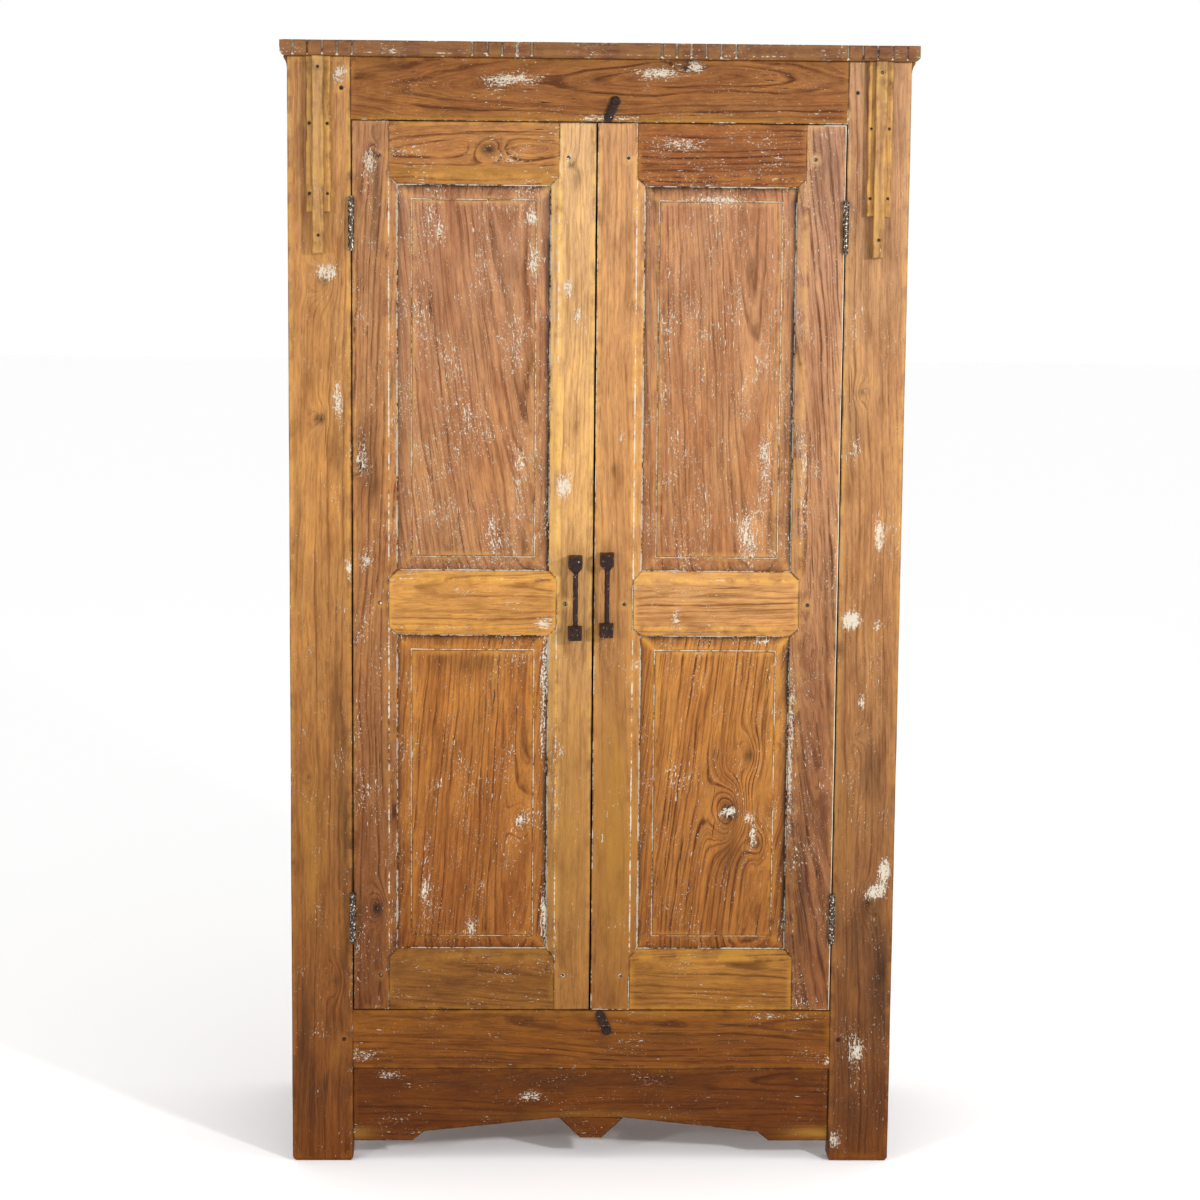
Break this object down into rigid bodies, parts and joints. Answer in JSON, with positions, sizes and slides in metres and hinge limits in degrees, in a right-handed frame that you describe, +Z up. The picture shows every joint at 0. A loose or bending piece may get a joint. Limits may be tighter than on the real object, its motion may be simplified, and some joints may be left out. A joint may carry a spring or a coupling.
{
  "type": "armoire",
  "caption": "Tall two-door armoire in reclaimed teak with fielded panels, a shaped apron, plank back, shelves, iron pulls and turn buttons.",
  "frame": {"origin": "middle of the footprint, pulls included, at floor level", "axes": "+Z up, +X to the right as one faces the doors, -Y to the front"},
  "size_m": [1.048, 0.492, 1.9],
  "materials": {
    "reclaimed_teak_frame": "worn waxed teak with paint left in the pores",
    "reclaimed_teak_panel": "worn waxed teak, redder than the frame",
    "plain_teak_inside": "plain sawn and planed teak",
    "forged_iron": "blackened forged iron",
    "hinge_steel": "dull tarnished steel"
  },
  "bodies": {
    "carcass": {"apron_drop": "reclaimed_teak_frame", "back_boards": "plain_teak_inside", "back_bottom_rail": "plain_teak_inside", "back_top_rail": "plain_teak_inside", "cabinet_floor": "plain_teak_inside", "carcass_pegs_and_nails": "forged_iron", "cornice_mouldings": "reclaimed_teak_frame", "door_stops": "plain_teak_inside", "frame_hinge_screws": "hinge_steel", "front_apron": "reclaimed_teak_frame", "front_bottom_rail": "reclaimed_teak_frame", "front_top_rail": "reclaimed_teak_frame", "hinge_pins": "hinge_steel", "left_front_post": "reclaimed_teak_frame", "left_hinge_frame_leaves": "hinge_steel", "left_rear_post": "reclaimed_teak_frame", "left_side_bottom_rail": "reclaimed_teak_frame", "left_side_lower_panel": "reclaimed_teak_panel", "left_side_middle_rail": "reclaimed_teak_frame", "left_side_top_rail": "reclaimed_teak_frame", "left_side_upper_panel": "reclaimed_teak_panel", "pilaster_back_strips": "reclaimed_teak_frame", "pilaster_front_strips": "reclaimed_teak_frame", "right_front_post": "reclaimed_teak_frame", "right_hinge_frame_leaves": "hinge_steel", "right_rear_post": "reclaimed_teak_frame", "right_side_bottom_rail": "reclaimed_teak_frame", "right_side_lower_panel": "reclaimed_teak_panel", "right_side_middle_rail": "reclaimed_teak_frame", "right_side_top_rail": "reclaimed_teak_frame", "right_side_upper_panel": "reclaimed_teak_panel", "shelf_1": "plain_teak_inside", "shelf_2": "plain_teak_inside", "shelf_3": "plain_teak_inside", "shelf_cleats": "plain_teak_inside", "top_board": "reclaimed_teak_frame", "turn_button_pivots": "forged_iron"},
    "left_door": {"left_door_bottom_rail": "reclaimed_teak_frame", "left_door_fasteners": "hinge_steel", "left_door_hinge_leaves": "hinge_steel", "left_door_hinge_stile": "reclaimed_teak_frame", "left_door_lower_panel": "reclaimed_teak_panel", "left_door_meeting_stile": "reclaimed_teak_frame", "left_door_middle_rail": "reclaimed_teak_frame", "left_door_top_rail": "reclaimed_teak_frame", "left_door_upper_panel": "reclaimed_teak_panel", "left_pull": "forged_iron"},
    "right_door": {"right_door_bottom_rail": "reclaimed_teak_frame", "right_door_fasteners": "hinge_steel", "right_door_hinge_leaves": "hinge_steel", "right_door_hinge_stile": "reclaimed_teak_frame", "right_door_lower_panel": "reclaimed_teak_panel", "right_door_meeting_stile": "reclaimed_teak_frame", "right_door_middle_rail": "reclaimed_teak_frame", "right_door_top_rail": "reclaimed_teak_frame", "right_door_upper_panel": "reclaimed_teak_panel", "right_pull": "forged_iron"},
    "top_button": {"top_turn_button": "forged_iron"},
    "bottom_button": {"bottom_turn_button": "forged_iron"}
  },
  "joints": [
    {"name": "left_door_swing", "type": "hinge", "parent": "carcass", "child": "left_door", "pos_m": [-0.409, -0.2193, 0.9], "axis": [0, 0, -1], "range_deg": [0, 150]},
    {"name": "right_door_swing", "type": "hinge", "parent": "carcass", "child": "right_door", "pos_m": [0.409, -0.2193, 0.9], "axis": [0, 0, 1], "range_deg": [0, 150]},
    {"name": "top_button_turn", "type": "hinge", "parent": "carcass", "child": "top_button", "pos_m": [0.025, -0.217, 1.80669], "axis": [0, 1, 0], "continuous": true},
    {"name": "bottom_button_turn", "type": "hinge", "parent": "carcass", "child": "bottom_button", "pos_m": [0.025, -0.217, 0.23431], "axis": [0, 1, 0], "continuous": true}
  ]
}
